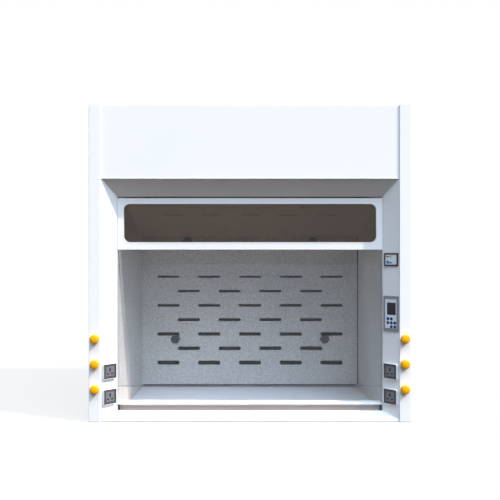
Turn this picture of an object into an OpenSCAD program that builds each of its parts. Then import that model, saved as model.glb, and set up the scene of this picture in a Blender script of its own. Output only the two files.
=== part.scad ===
// Bench-top superstructure of a ducted fume hood with a vertical sash.
// Origin: centre of the underside. X to the right, Y to the back, Z up, millimetres.
// Depths in the source are counted from the front of the fascia towards the back.

/* [Cabinet] */
// Overall width across the side panels
body_w = 1500; // [1400:10:1800]
// Overall depth from the posts' front to the rear panel
body_d = 850; // [800:10:950]
// Height of the superstructure
body_h = 1475; // [1460:5:1600]
// Thickness of the folded steel sheet
sheet_t = 1.5; // [1:0.1:1.8]
// Outside radius of the folded corners
bend_r = 3; // [2:0.5:4]
// Leg of the frame's steel angles
angle_leg = 30; // [25:1:40]
// Thickness of the frame's steel angles
angle_t = 3; // [2:0.5:4]

/* [Front] */
// Width of each corner post
post_w = 55; // [50:1:65]
// Depth of each corner post
post_d = 65; // [60:1:75]
// How far the posts stand proud of the fascia
post_proud = 6; // [5:1:25]
// Depth of the splay round the opening, the same sideways
splay = 65; // [60:1:72]
// Height of the fascia
fascia_h = 346.5; // [320:0.5:360]
// Drop of the soffit over its depth
soffit_drop = 75.5; // [60:0.5:90]
// Depth of the fascia's turned-under lip
lip_d = 6; // [5:0.5:9]
// Radius of the half-round bead along the fascia's lower edge
bead_r = 2.5; // [1.5:0.5:4]
// Height of the sill at its back
sill_h = 38.6; // [32:0.1:44]
// Radius of the sill's nose
sill_nose_r = 12; // [8:1:14]
// Rise of the sill in degrees
sill_rise = 23; // [15:1:25]
// Width of the flange that joins each jamb to its post
jamb_flange = 1.5; // [1:0.5:16]

/* [Airfoil] */
// Height of the airfoil's top
foil_top = 72; // [66:1:80]
// Depth of the airfoil from front to back
foil_d = 60; // [45:1:75]
// Thickness of the airfoil's nose
foil_t = 9; // [7:0.5:12]
// Thickness of each end bracket
foil_bracket_t = 6; // [4:1:14]

/* [Upper window] */
// Gap between the soffit and the window frame
transom_gap = 6.5; // [4:0.5:10]
// Height of the window frame
transom_h = 244.5; // [225:0.5:250]
// Thickness of the window frame
transom_t = 18; // [14:1:22]
// Width of the frame's bottom rail
transom_sill = 35; // [30:1:50]
// Width of the frame's top rail
transom_head = 27; // [20:1:35]
// Width of the frame's stiles
transom_stile = 29; // [20:1:40]
// Corner radius of the window
window_r = 29; // [15:1:40]
// Width of the raised edge round the window
window_lip = 3; // [2:0.5:5]
// Height of that raised edge
window_lip_h = 1.2; // [0.5:0.1:2]
// Thickness of the fixed pane
pane_t = 5; // [4:0.5:6]
// How far the fixed pane reaches behind its frame
rebate = 8; // [5:0.5:12]

/* [Sash] */
// Height of the sash's lower edge as it stands
sash_z = 143.5; // [138:0.5:170]
// Height of the sash
sash_h = 589.5; // [560:0.5:600]
// Thickness of the sliding glass
glass_t = 6; // [5:0.5:8]
// Gap between the window frame and the sliding glass
sash_gap = 4; // [3.8:0.1:6]
// How far the glass reaches into each guide
glass_bite = 12; // [9:0.5:14]
// Height of the edge strip under the glass
trim_h = 8; // [6:0.5:14]
// Thickness of the edge strip and of the glides
trim_t = 12; // [10:0.5:12.5]
// Length of each glide
glide_h = 50; // [35:1:60]
// Distance of the cable clamps below the sash's top
clamp_drop = 43; // [36:1:60]

/* [Guides] */
// Width of each guide
guide_w = 48; // [46:1:56]
// Wall of each guide
guide_wall = 3; // [2:0.5:4]
// Running clearance at the glides, each side
glide_gap = 0.5; // [0.3:0.1:0.8]
// Depth of the groove that takes the glass
groove_d = 20; // [18:0.5:22]
// Thickness of the cable chamber, front to back
chamber_t = 16; // [15:0.5:16.5]
// Gap between the guides' top and the pulleys
guide_gap = 6; // [3:0.5:12]

/* [Counterbalance] */
// Effective radius of the pulleys
pulley_r = 40; // [38:1:50]
// Width of each pulley
pulley_w = 14; // [10:1:18]
// Height of the flanges above the cable's centre line
pulley_flange = 4; // [3:0.5:5]
// Distance of the pulley shaft's axis below the roof's top
shaft_drop = 75; // [70:1:77]
// Radius of the pulley shaft
shaft_r = 6; // [5:0.5:8]
// Running clearance of the shaft in its bearings
shaft_gap = 0.05; // [0.02:0.01:0.1]
// Radius of the steel cable
cable_r = 2; // [1.5:0.25:2.5]
// Width of each counterweight
weight_w = 44; // [38:1:48]
// Depth of each counterweight, front to back
weight_d = 60; // [50:1:64]
// Length of each counterweight
weight_h = 305; // [200:1:320]
// Height of each counterweight's underside as it stands
weight_z = 700; // [690:5:760]
// Clearance of the counterweight in its channel
weight_gap = 1; // [0.5:0.1:2]

/* [Chamber] */
// Thickness of the liner boards
liner_t = 6; // [5:0.5:8]
// Height of the ceiling's underside
ceiling_z = 1130; // [1120:1:1160]
// Thickness of the worktop at its rim
worktop_t = 20; // [18:1:25]
// Height of the worktop's dished floor
dish_z = 8; // [6:0.5:12]
// Height of the raised front edge of the worktop, under the airfoil
rim_z = 55; // [40:1:58]
// Thickness of that raised edge
rim_t = 10; // [6:1:12]
// How far the worktop reaches under the guides and liners
worktop_reach = 50; // [48:1:52]
// Depth of the plenum behind the lower baffle
plenum_d = 81.5; // [58:0.5:120]
// Height of the lower baffle's bottom edge
baffle_z = 22; // [18:1:40]
// Height of the lower baffle's top edge
baffle_top = 882; // [870:1:900]
// Slope of the upper baffle in degrees
baffle_slope = 16.7; // [14:0.1:18]
// Length of the upper baffle along its slope
upper_baffle_l = 535; // [450:1:560]
// Side clearance of the baffles
baffle_gap = 0.5; // [0.3:0.1:1]
// Sideways place of the upper baffle's hangers
hanger_x = 500; // [300:5:600]
// Depth of the upper baffle's hangers
hanger_depth = 300; // [280:5:420]
// Radius of the hangers
hanger_r = 4; // [3:0.5:6]

/* [Baffle slots] */
// Rows of slots in the lower baffle
slot_rows = 7; // [5:1:7]
// Length of each slot
slot_l = 128; // [90:1:140]
// Distance between slots in a row
slot_pitch = 238; // [200:1:240]
// Least distance between a row's end and the wall
slot_edge = 60; // [40:5:80]
// Height of the lowest row
slot_low_z = 148; // [120:1:160]
// Distance between rows
slot_row_pitch = 83.5; // [70:0.5:85]
// Height of the slots in the lowest row
slot_h_low = 24; // [14:0.5:26]
// Height of the slots in the highest row
slot_h_high = 12; // [6:0.5:14]
// Length of each slot in the upper baffle
upper_slot_l = 103; // [80:1:120]
// Distance between slots in the upper baffle
upper_slot_pitch = 203; // [160:1:210]
// Distance of its first row from the lower baffle, along the slope
upper_row_at = 368; // [340:1:390]
// Distance between its two rows
upper_row_pitch = 118; // [90:1:125]

/* [Hand nuts] */
// Width of each hand nut across its corners
nut_corners = 53; // [44:1:60]
// Thickness of each hand nut
nut_t = 20; // [14:1:26]
// Sideways place of the lower nuts
nut_low_x = 435; // [400:1:450]
// Height of the lower nuts
nut_low_z = 286; // [280:1:292]
// Sideways place of the upper nuts
nut_high_x = 363; // [340:1:380]
// Height of the upper nuts
nut_high_z = 856; // [830:1:858]
// Radius of the studs
stud_r = 5; // [4:0.5:6]
// Radius of the stand-offs
standoff_r = 12; // [10:1:16]

/* [Services] */
// Diameter of each service knob
knob_d = 42; // [36:1:46]
// Height of each service knob
knob_h = 26; // [20:1:32]
// Gap between the knobs and the posts
knob_gap = 0.5; // [0.3:0.1:1]
// Distance of the knobs from the hood's outer side
knob_inset = 30; // [27:1:32]
// Height of the lowest knobs
knob_low_z = 153; // [120:1:180]
// Distance between knobs
knob_pitch = 117; // [90:1:130]
// Radius of the valve spindles
spindle_r = 4; // [3:0.5:5]
// Running clearance of the spindles
spindle_gap = 0.05; // [0.02:0.01:0.1]
// Radius of the valve bodies
valve_r = 12; // [10:0.5:14]
// Length of the valve bodies
valve_l = 46; // [36:1:50]

/* [Sockets] */
// Width and height of each socket box
socket_w = 71; // [60:1:74]
// How far a socket box stands off its jamb
socket_h = 14; // [10:1:18]
// Depth of the recess that the plate lies in
socket_recess = 3; // [2:0.5:4]
// Border of the socket box round its plate
socket_border = 1.5; // [1:0.5:5]
// Thickness of each socket plate
plate_t = 4; // [3:0.5:5]
// Height of the lower sockets
socket_low_z = 111.5; // [100:0.5:120]
// Distance between sockets
socket_pitch = 119; // [90:1:130]
// Distance of the sockets' centres from the middle of their jamb, towards the post
socket_shift = 3.5; // [0:0.5:8]
// Width of the raised square on each plate
socket_raised = 45.5; // [40:0.5:50]
// Width of the contact slots
contact_w = 5; // [2:0.5:6]
// Length of the upper contact slot
contact_up_l = 14; // [6:0.5:16]
// Length of the lower contact slots
contact_low_l = 9; // [5:0.5:10]
// Height of the upper contact slot above the plate's centre
contact_up_z = 8; // [6:0.5:12]
// Distance of the lower contact slots from the centre, sideways and down
contact_out = 11; // [8:0.5:13]

/* [Controller] */
// Width of the controller's case along the jamb
case_w = 80; // [76:1:88]
// Height of the controller's case
case_h = 165; // [150:1:170]
// How far the case stands off the jamb
case_proud = 6; // [4:0.5:8]
// Depth of the case behind the jamb
case_back = 15; // [10:1:16]
// Height of the case's centre
case_z = 500.5; // [480:0.5:560]
// Distance of the case's centre from the middle of the jamb, towards the post
case_shift = 4; // [0:0.5:5]
// Border beside the face
case_border = 9; // [7:0.5:12]
// Border above and below the face
case_cap = 14; // [8:0.5:16]
// Depth of the face below the border
face_step = 1.2; // [0.5:0.1:2]
// Width of the display window
display_w = 47; // [36:1:48]
// Height of the display window
display_h = 58; // [48:1:58]
// Height of the display's centre above the case's centre
display_up = 23; // [20:1:26]
// Distance of the display and buttons from the case's centre, towards the post
keys_shift = 2.5; // [0:0.5:3]
// Diameter of the buttons
button_d = 12.5; // [9:0.1:13]
// Distance between buttons
button_pitch = 18.5; // [15:0.5:19]
// Drop of the top row of buttons below the case's centre
buttons_down = 24.5; // [20:0.5:28]
// Travel of the buttons
button_travel = 1.5; // [1:0.1:2]
// Clearance round the buttons
button_gap = 0.3; // [0.3:0.05:0.5]

/* [Airflow meter] */
// Width of the meter along the jamb
meter_w = 74; // [66:1:80]
// Height of the meter
meter_h = 61; // [50:1:70]
// How far the meter stands off the jamb
meter_proud = 5; // [3:0.5:7]
// Border round the meter's face
meter_border = 7; // [4:0.5:8]
// Distance of the meter's centre from the middle of the jamb, towards the post
meter_shift = 4; // [0:0.5:8]
// Height of the meter's centre
meter_z = 754.5; // [700:0.5:760]

/* [Exhaust] */
// Outside radius of the exhaust spigot
spigot_r = 124; // [98:1:140]
// Height of the spigot above the roof
spigot_up = 80; // [60:1:100]
// Depth of the spigot's axis behind the fascia
spigot_depth = 555; // [450:1:580]
// Width of the spigot's flanges
spigot_flange = 28; // [20:1:34]
// Radius of the cable entry in the rear panel
cable_entry_r = 16; // [10:1:20]
// Distance of the cable entry below the rear panel's top
cable_entry_drop = 90; // [60:5:150]

/* [Lamp] */
// Length of the ceiling's light opening
lamp_l = 600; // [500:10:640]
// Width of the ceiling's light opening
lamp_w = 90; // [80:1:100]
// Height of the lamp housing
lamp_h = 80; // [70:1:90]
// Depth of the lamp's axis behind the fascia
lamp_depth = 170; // [165:1:175]
// Radius of the lamp tubes
tube_r = 13; // [8:0.5:13]

/* [Base fixings] */
// Radius of the base fixing holes
fixing_r = 4.5; // [3:0.5:5.5]
// Distance between the fixing holes, front to back
fixing_span = 600; // [500:10:620]

/* [Hidden] */

eps = 0.01;
cut = 1;
fine = 64;
half_w = body_w / 2;
inner_x = half_w - sheet_t;
post_x = half_w - post_w;
open_x = post_x - splay;
back_depth = body_d - post_proud;
inner_back = back_depth - sheet_t;
lip_z = body_h - fascia_h;
soffit_z = lip_z - soffit_drop;
transom_z = soffit_z - transom_gap - transom_h;
roof_under = body_h - sheet_t;
roof_front = 20;
panel_front = post_d - post_proud;
panel_flange = 25;

// Planes of the sash, counted as depths behind the fascia
sash_plane = splay + transom_t + sash_gap + glass_t / 2;
guide_front = splay + sheet_t;
guide_back = sash_plane + chamber_t / 2 + guide_wall;
groove_t = trim_t + 2 * glide_gap;
liner_front = guide_back;
cable_x = open_x + groove_d + (guide_w - guide_wall - groove_d) / 2 - 0.5;
clamp_top = sash_z + sash_h - clamp_drop;
shaft_depth = sash_plane + pulley_r;
shaft_z = body_h - shaft_drop;
guide_top = shaft_z - pulley_r - pulley_flange - guide_gap;
weight_depth = sash_plane + 2 * pulley_r;
frame_front = 70;
fixing_inset = sheet_t + angle_leg / 2 + 2;
fixing_depth = (frame_front + inner_back) / 2;
duct_r = spigot_r - 2 * sheet_t;
bearing_w = 20;
bearing_x = half_w - angle_leg - 15;

baffle_depth = inner_back - plenum_d - liner_t;
slope_start = baffle_depth + liner_t;
slot_count = floor((2 * (open_x - slot_edge) - slot_l) / slot_pitch) + 1;
jamb_l = splay * sqrt(2);
jamb_mid = jamb_l / 2;
socket_mid = jamb_mid - socket_shift;
case_mid = jamb_mid - case_shift;
keys_mid = case_mid - keys_shift;
meter_mid = jamb_mid - meter_shift;
seam = 2;

// Turns a depth behind the fascia into a Y coordinate
function fy(d) = d + post_proud - body_d / 2;

function unit(v) = v / norm(v);
function left_of(v) = [-v[1], v[0]];
function spin2(v, a) = [v[0] * cos(a) - v[1] * sin(a), v[0] * sin(a) + v[1] * cos(a)];
function arc(c, r, a0, a1, n = 8) = [for (i = [0:n]) c + spin2([r, 0], a0 + (a1 - a0) * i / n)];

// Points that round the corner b between a and c with radius r
function round_corner(a, b, c, r, n = 4) =
  let (u = unit(a - b), v = unit(c - b), half = acos(u * v) / 2,
       centre = b + unit(u + v) * r / sin(half),
       start = b + u * r / tan(half) - centre,
       turn = (180 - 2 * half) * (cross(u, v) > 0 ? -1 : 1))
  [for (i = [0:n]) centre + spin2(start, turn * i / n)];

// Rounds every inner corner of a path, with one radius or one for each corner
function bent(p, r) = [
  for (i = [0:len(p) - 1])
    let (ri = is_list(r) ? r[i] : r)
    each (i == 0 || i == len(p) - 1 || ri == 0 ? [p[i]] : round_corner(p[i - 1], p[i], p[i + 1], ri))
];

// Closed outline of a sheet that follows a path, with its thickness on the left
function mitre(p, i) =
  let (a = i == 0 ? undef : left_of(unit(p[i] - p[i - 1])),
       b = i == len(p) - 1 ? undef : left_of(unit(p[i + 1] - p[i])))
  i == 0 ? b : i == len(p) - 1 ? a : (a + b) / (1 + a * b);
function strip(p, t) = concat(p, [for (i = [len(p) - 1:-1:0]) p[i] + t * mitre(p, i)]);

// Rectangle about the origin with rounded corners
function rounded(w, h, r, n = 4) = concat(
  arc([w / 2 - r, h / 2 - r], r, 0, 90, n), arc([r - w / 2, h / 2 - r], r, 90, 180, n),
  arc([r - w / 2, r - h / 2], r, 180, 270, n), arc([w / 2 - r, r - h / 2], r, 270, 360, n));

// Box between two corners whose middle number is a depth behind the fascia
module block(a, b) {
  translate([a[0], fy(a[1]), a[2]]) cube([b[0] - a[0], b[1] - a[1], b[2] - a[2]]);
}

// Upright prism over a plan outline in X and depth
module upright(points, z0, z1) {
  translate([0, fy(0), z0]) linear_extrude(z1 - z0) polygon(points);
}

// Bar along X whose section is given in depth and height
module crosswise(points, x0, x1) {
  translate([x0, fy(0), 0]) rotate([90, 0, 90]) linear_extrude(x1 - x0) polygon(points);
}

// Plate that faces the front, from an outline in X and Z
module facing(depth, t) {
  translate([0, fy(depth + t), 0]) rotate([90, 0, 0]) linear_extrude(t) children();
}

// Mirrors its children for the left side
module on_side(side) {
  if (side < 0) mirror([1, 0, 0]) children();
  else children();
}

// Places children on the right jamb: X along it from its front edge, Y out of its face
module on_jamb(along, z) {
  translate([post_x, fy(0), z]) rotate([0, 0, 135]) translate([along, 0, 0]) children();
}

// Plate on a jamb, from y0 to y1 off its face
module jamb_plate(w, h, r, y0, y1) {
  translate([0, y1, 0]) rotate([90, 0, 0]) linear_extrude(y1 - y0) polygon(rounded(w, h, r));
}

module worktop() {
  rim_x = open_x - foil_bracket_t - 2 * baffle_gap;
  rim = liner_front - rim_t;
  color([0.70, 0.74, 0.80]) {
    difference() {
      block([-open_x - worktop_reach, splay, 0], [open_x + worktop_reach, inner_back, worktop_t]);
      block([-open_x - liner_t, liner_front, dish_z], [open_x + liner_t, back_depth, worktop_t + cut]);
    }
    crosswise([[rim, dish_z], [liner_front, dish_z], [liner_front, rim_z - seam],
      [liner_front - seam, rim_z], [rim + seam, rim_z], [rim, rim_z - seam]], -rim_x, rim_x);
  }
}

// Plan outline between the two splayed jambs
function between_jambs(reach) = [
  [-post_x, 0], [post_x, 0], [open_x, splay], [open_x, splay + reach],
  [-open_x, splay + reach], [-open_x, splay]
];

module front_sill() {
  nose_z = sill_h - splay * tan(sill_rise);
  path = bent([[0, 0], [0, nose_z], [splay, sill_h], [splay, 0]], [0, sill_nose_r, bend_r, 0]);
  color([0.95, 0.96, 0.98]) intersection() {
    crosswise(strip(path, -sheet_t), -post_x, post_x);
    upright(between_jambs(cut), -cut, sill_h + cut);
  }
}

foil_nose = [splay + foil_t / 2, foil_top - foil_t / 2];
foil_tail_r = foil_t / 4;
foil_tail = [splay + foil_d - foil_tail_r, foil_top - foil_tail_r];
function foil_under(d) =
  let (a = foil_nose - [0, foil_t / 2], b = foil_tail - [0, foil_tail_r])
  a[1] + (b[1] - a[1]) * (d - a[0]) / (b[0] - a[0]);

module airfoil() {
  color([0.95, 0.96, 0.98]) crosswise(
    concat(arc(foil_nose, foil_t / 2, 90, 270, 12), arc(foil_tail, foil_tail_r, -90, 90, 8)),
    -open_x + baffle_gap, open_x - baffle_gap);
}

module airfoil_brackets() {
  from = splay + foil_t;
  to = liner_front - sheet_t;
  color([0.25, 0.25, 0.27]) for (side = [-1, 1]) on_side(side)
    crosswise([[from, worktop_t], [to, worktop_t], [to, foil_under(to)], [from, foil_under(from)]],
      open_x - baffle_gap - foil_bracket_t, open_x - baffle_gap);
}

module side_panel(side) {
  path = bent([[half_w - panel_flange, panel_front], [half_w, panel_front],
    [half_w, back_depth], [half_w - panel_flange, back_depth]], bend_r);
  color([0.93, 0.94, 0.96]) on_side(side) upright(strip(path, sheet_t), 0, body_h);
}

module rear_panel() {
  x = half_w - panel_flange - baffle_gap;
  entry_x = x - panel_flange - cable_entry_r;
  color([0.90, 0.91, 0.93]) facing(inner_back, sheet_t) difference() {
    translate([-x, 0]) square([2 * x, body_h]);
    translate([entry_x, body_h - cable_entry_drop]) circle(cable_entry_r, $fn = fine);
  }
}

module roof_panel() {
  neck = post_x - baffle_gap;
  front = panel_front + sheet_t;
  color([0.93, 0.94, 0.96]) difference() {
    upright([[-neck, roof_front], [neck, roof_front], [neck, front], [inner_x - bend_r, front],
      [inner_x, front + bend_r], [inner_x, inner_back - bend_r], [inner_x - bend_r, inner_back],
      [bend_r - inner_x, inner_back], [-inner_x, inner_back - bend_r], [-inner_x, front + bend_r],
      [bend_r - inner_x, front], [-neck, front]], roof_under, body_h);
    translate([0, fy(spigot_depth), roof_under - cut])
      cylinder(r = duct_r + baffle_gap, h = sheet_t + 2 * cut, $fn = fine);
  }
}

// Spigot above the roof, and the slimmer duct that joins it to the ceiling
module exhaust_spigot() {
  r = spigot_r;
  low = ceiling_z + liner_t;
  high = body_h + sheet_t;
  collar = r + spigot_flange;
  color([0.80, 0.81, 0.83]) translate([0, fy(spigot_depth), 0]) rotate_extrude($fn = fine)
    polygon([[duct_r - sheet_t, ceiling_z], [duct_r, ceiling_z], [duct_r, low], [collar, low],
      [collar, low + sheet_t], [duct_r, low + sheet_t], [duct_r, body_h], [collar, body_h],
      [collar, high], [r, high], [r, body_h + spigot_up], [r - sheet_t, body_h + spigot_up],
      [r - sheet_t, high], [duct_r - sheet_t, high]]);
}

module post(side) {
  path = bent([[post_x, -sheet_t], [post_x, -post_proud], [half_w, -post_proud],
    [half_w, panel_front], [half_w - panel_flange + sheet_t, panel_front]], bend_r);
  color([0.94, 0.95, 0.98]) on_side(side) difference() {
    union() {
      upright(strip(path, sheet_t), 0, body_h);
      upright([[post_x + sheet_t, sheet_t - post_proud], [inner_x, sheet_t - post_proud],
        [inner_x, panel_front - sheet_t], [post_x + sheet_t, panel_front - sheet_t]], roof_under, body_h);
    }
    for (i = [0:2]) translate([half_w - knob_inset, fy(-post_proud) - cut, knob_low_z + i * knob_pitch])
      rotate([-90, 0, 0]) cylinder(r = spindle_r + knob_gap, h = sheet_t + 2 * cut, $fn = fine);
  }
}

// Sheet of one splayed jamb with its two hidden flanges
module jamb_sheet() {
  path = bent([[post_x + sheet_t, -sheet_t - jamb_flange], [post_x + sheet_t, -sheet_t],
    [open_x, splay], [open_x + panel_flange, splay]], [0, 0, 2, 0]);
  upright(strip(path, -sheet_t), 0, lip_z);
}

module jamb_left() {
  color([0.96, 0.96, 0.97]) mirror([1, 0, 0]) jamb_sheet();
}

module jamb_right() {
  color([0.80, 0.84, 0.88]) difference() {
    jamb_sheet();
    on_jamb(keys_mid, case_z) jamb_plate(case_back_w + 1, case_back_h + 1, seam, -cut - sheet_t, cut);
    on_jamb(meter_mid, meter_z) jamb_plate(meter_back_w + 1, meter_back_h + 1, seam, -cut - sheet_t, cut);
  }
}

module fascia() {
  path = bent([[roof_front, body_h], [0, body_h], [0, lip_z], [lip_d, lip_z], [lip_d, lip_z + 4 * lip_d]],
    [0, bend_r, sheet_t + 0.5, sheet_t + 0.5, 0]);
  x = post_x + sheet_t;
  bead_x = post_x - baffle_gap;
  bead_z = lip_z + seam + bead_r;
  color([0.96, 0.97, 0.99]) {
    crosswise(strip(path, sheet_t), -x, x);
    crosswise(concat(arc([0, bead_z], bead_r, 90, 270, 12),
      [[sheet_t / 2, bead_z - bead_r], [sheet_t / 2, bead_z + bead_r]]), -bead_x, bead_x);
  }
}

module soffit() {
  path = bent([[lip_d, lip_z + 6 * lip_d], [lip_d, lip_z - sheet_t], [splay, soffit_z],
    [splay + transom_t - sheet_t, soffit_z]], [0, 0, bend_r, 0]);
  color([0.62, 0.62, 0.64]) intersection() {
    crosswise(strip(path, sheet_t), -post_x, post_x);
    upright(between_jambs(transom_t), soffit_z - cut, body_h);
  }
}

window_w = 2 * (open_x - transom_stile);
window_h = transom_h - transom_head - transom_sill;
window_z = transom_z + transom_sill + window_h / 2;

module transom_frame() {
  color([0.86, 0.88, 0.93]) {
    facing(splay, transom_t - pane_t - 1) difference() {
      translate([-open_x, transom_z]) square([2 * open_x, transom_h]);
      translate([0, window_z]) polygon(rounded(window_w, window_h, window_r, 8));
    }
    facing(splay + transom_t - pane_t - 1, pane_t + 1) difference() {
      translate([-open_x, transom_z]) square([2 * open_x, transom_h]);
      translate([0, window_z])
        polygon(rounded(window_w + 2 * rebate, window_h + 2 * rebate, window_r, 8));
    }
    facing(splay - window_lip_h, window_lip_h) translate([0, window_z]) difference() {
      polygon(rounded(window_w + 2 * window_lip, window_h + 2 * window_lip, window_r + window_lip, 8));
      polygon(rounded(window_w, window_h, window_r, 8));
    }
  }
}

module transom_glass() {
  color([0.45, 0.50, 0.55, 0.5]) facing(splay + transom_t - pane_t - 1, pane_t)
    translate([0, window_z])
      polygon(rounded(window_w + 2 * rebate, window_h + 2 * rebate, window_r, 8));
}

module liner(side) {
  color([0.72, 0.75, 0.79]) on_side(side)
    block([open_x, liner_front, dish_z], [open_x + liner_t, inner_back, ceiling_z]);
}

module liner_ceiling() {
  x = open_x + liner_t;
  color([0.72, 0.75, 0.79]) difference() {
    block([-x, liner_front, ceiling_z], [x, inner_back, ceiling_z + liner_t]);
    block([-lamp_l / 2, lamp_depth - lamp_w / 2, ceiling_z - cut],
      [lamp_l / 2, lamp_depth + lamp_w / 2, ceiling_z + liner_t + cut]);
    translate([0, fy(spigot_depth), ceiling_z - cut])
      cylinder(r = duct_r, h = liner_t + 2 * cut, $fn = fine);
  }
}

// Sideways places of one row of n slots, centred
function row_places(n, pitch) = [for (i = [0:n - 1]) (i - (n - 1) / 2) * pitch];

module lower_baffle() {
  x = open_x - baffle_gap;
  color([0.72, 0.75, 0.79]) facing(baffle_depth, liner_t) difference() {
    translate([-x, baffle_z]) square([2 * x, baffle_top - baffle_z]);
    for (row = [0:slot_rows - 1]) {
      h = slot_h_low + (slot_h_high - slot_h_low) * row / (slot_rows - 1);
      for (place = row_places(slot_count - row % 2, slot_pitch))
        translate([place, slot_low_z + row * slot_row_pitch]) polygon(rounded(slot_l, h, h / 4, 3));
    }
    for (x = [-1, 1], p = nut_places) translate([x * p[0], p[1]]) circle(stud_r + 1, $fn = fine);
  }
}

// Slab of the upper baffle before its slots, seated on the lower baffle's top edge
module on_slope() {
  translate([0, fy(slope_start), baffle_top]) rotate([-baffle_slope, 0, 0]) children();
}

module upper_baffle() {
  x = open_x - baffle_gap;
  color([0.72, 0.75, 0.79]) on_slope() linear_extrude(liner_t) difference() {
    translate([-x, -upper_baffle_l]) square([2 * x, upper_baffle_l]);
    for (row = [0, 1], place = row_places(slot_count - row, upper_slot_pitch))
      translate([place, -upper_row_at - row * upper_row_pitch])
        polygon(rounded(upper_slot_l, slot_h_high, slot_h_high / 4, 3));
  }
}

nut_places = [[nut_low_x, nut_low_z], [nut_high_x, nut_high_z]];

module baffle_standoffs() {
  color([0.55, 0.56, 0.58]) {
    for (side = [-1, 1], p = nut_places) translate([side * p[0], fy(inner_back), p[1]]) rotate([90, 0, 0]) {
      cylinder(r = standoff_r, h = inner_back - slope_start, $fn = fine);
      cylinder(r = stud_r, h = inner_back - baffle_depth + 0.7 * nut_t, $fn = fine);
    }
    for (side = [-1, 1]) difference() {
      translate([side * hanger_x, fy(hanger_depth), baffle_top])
        cylinder(r = hanger_r, h = ceiling_z - baffle_top, $fn = fine);
      on_slope() translate([-half_w, -body_d, -body_d]) cube([body_w, 2 * body_d, body_d + liner_t]);
    }
  }
}

module baffle_nuts() {
  chamfer = 3;
  r = nut_corners / 2;
  color([0.18, 0.19, 0.21]) for (side = [-1, 1], p = nut_places)
    translate([side * p[0], fy(baffle_depth), p[1]]) rotate([90, 0, 0]) difference() {
      intersection() {
        cylinder(r = r, h = nut_t, $fn = 6);
        rotate_extrude($fn = fine) polygon([[0, 0], [r, 0], [r, nut_t - chamfer],
          [r - 2 * chamfer, nut_t], [0, nut_t]]);
      }
      translate([0, 0, -eps]) cylinder(r = stud_r, h = 0.7 * nut_t + eps, $fn = fine);
    }
}

module guide(side) {
  x1 = open_x + guide_w;
  channel_wall = [weight_depth - weight_d / 2 - weight_gap - sheet_t,
    weight_depth + weight_d / 2 + weight_gap + sheet_t];
  channel_x = open_x + liner_t;
  color([0.60, 0.62, 0.65]) on_side(side) {
    difference() {
      block([open_x, guide_front, worktop_t], [x1, guide_back, guide_top]);
      block([open_x - cut, sash_plane - groove_t / 2, worktop_t - cut],
        [open_x + groove_d + cut, sash_plane + groove_t / 2, guide_top + cut]);
      block([open_x + groove_d, sash_plane - chamber_t / 2, worktop_t - cut],
        [x1 - guide_wall, sash_plane + chamber_t / 2, guide_top + cut]);
    }
    upright(strip(bent([[channel_x + weight_w / 2, channel_wall[0]], [channel_x, channel_wall[0]],
      [channel_x, channel_wall[1]], [channel_x + weight_w / 2, channel_wall[1]]], 0), -sheet_t),
      worktop_t, ceiling_z);
  }
}

// Steel angle with its corner at the origin, broken to clear a bend, and its legs along X and Y
module angle_section(x, y) {
  polygon([for (p = [[angle_leg, 0], [bend_r, 0], [0, bend_r], [0, angle_leg], [angle_t, angle_leg],
    [angle_t, angle_t], [angle_leg, angle_t]]) [x * p[0], y * p[1]]]);
}

module frame() {
  rail_back = inner_back - bend_r;
  rail_x = inner_x - bend_r;
  color([0.50, 0.52, 0.55]) {
    for (side = [-1, 1]) on_side(side) difference() {
      union() {
        translate([inner_x, fy(frame_front), 0]) linear_extrude(roof_under) angle_section(-1, 1);
        translate([inner_x, fy(inner_back), 0]) linear_extrude(roof_under) angle_section(-1, -1);
        translate([inner_x, fy(rail_back), 0]) rotate([90, 0, 0])
          linear_extrude(rail_back - frame_front) angle_section(-1, 1);
        translate([inner_x, fy(rail_back), roof_under]) rotate([90, 0, 0])
          linear_extrude(rail_back - frame_front) angle_section(-1, -1);
      }
      for (i = [-1, 1]) translate([half_w - fixing_inset, fy(fixing_depth) + i * fixing_span / 2, -cut])
        cylinder(r = fixing_r, h = angle_t + 2 * cut, $fn = fine);
    }
    for (end = [[frame_front, 1], [inner_back, -1]]) translate([-rail_x, fy(end[0]), roof_under])
      rotate([90, 0, 90]) linear_extrude(2 * rail_x) angle_section(end[1], -1);
  }
}

module shaft_bearings() {
  r = 2.5 * shaft_r;
  color([0.35, 0.36, 0.38]) for (side = [-1, 1]) on_side(side)
    translate([bearing_x, fy(shaft_depth), shaft_z]) rotate([90, 0, 90]) difference() {
      union() {
        cylinder(r = r, h = bearing_w, $fn = fine);
        translate([-r, 0, 0]) cube([2 * r, roof_under - angle_t - shaft_z, bearing_w]);
      }
      translate([0, 0, -cut]) cylinder(r = shaft_r + shaft_gap, h = bearing_w + 2 * cut, $fn = fine);
    }
}

lamp_x = lamp_l / 2 + 10;
lamp_y = lamp_w / 2 + 10;
tube_z = ceiling_z + liner_t + lamp_h / 2;
tube_half = lamp_l / 2 - 5;

module lamp_housing() {
  base = ceiling_z + liner_t;
  color([0.92, 0.92, 0.92]) {
    difference() {
      block([-lamp_x, lamp_depth - lamp_y, base], [lamp_x, lamp_depth + lamp_y, base + lamp_h]);
      block([sheet_t - lamp_x, lamp_depth - lamp_y + sheet_t, base - cut],
        [lamp_x - sheet_t, lamp_depth + lamp_y - sheet_t, base + lamp_h - sheet_t]);
    }
    for (side = [-1, 1]) on_side(side) block([tube_half, lamp_depth - lamp_w / 3, tube_z - tube_r],
      [lamp_x - sheet_t, lamp_depth + lamp_w / 3, tube_z + tube_r]);
  }
}

module lamp_tubes() {
  color([0.98, 0.98, 0.95]) for (side = [-1, 1])
    translate([-tube_half, fy(lamp_depth + side * lamp_w / 5), tube_z]) rotate([0, 90, 0])
      cylinder(r = tube_r, h = 2 * tube_half, $fn = fine);
}

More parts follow.
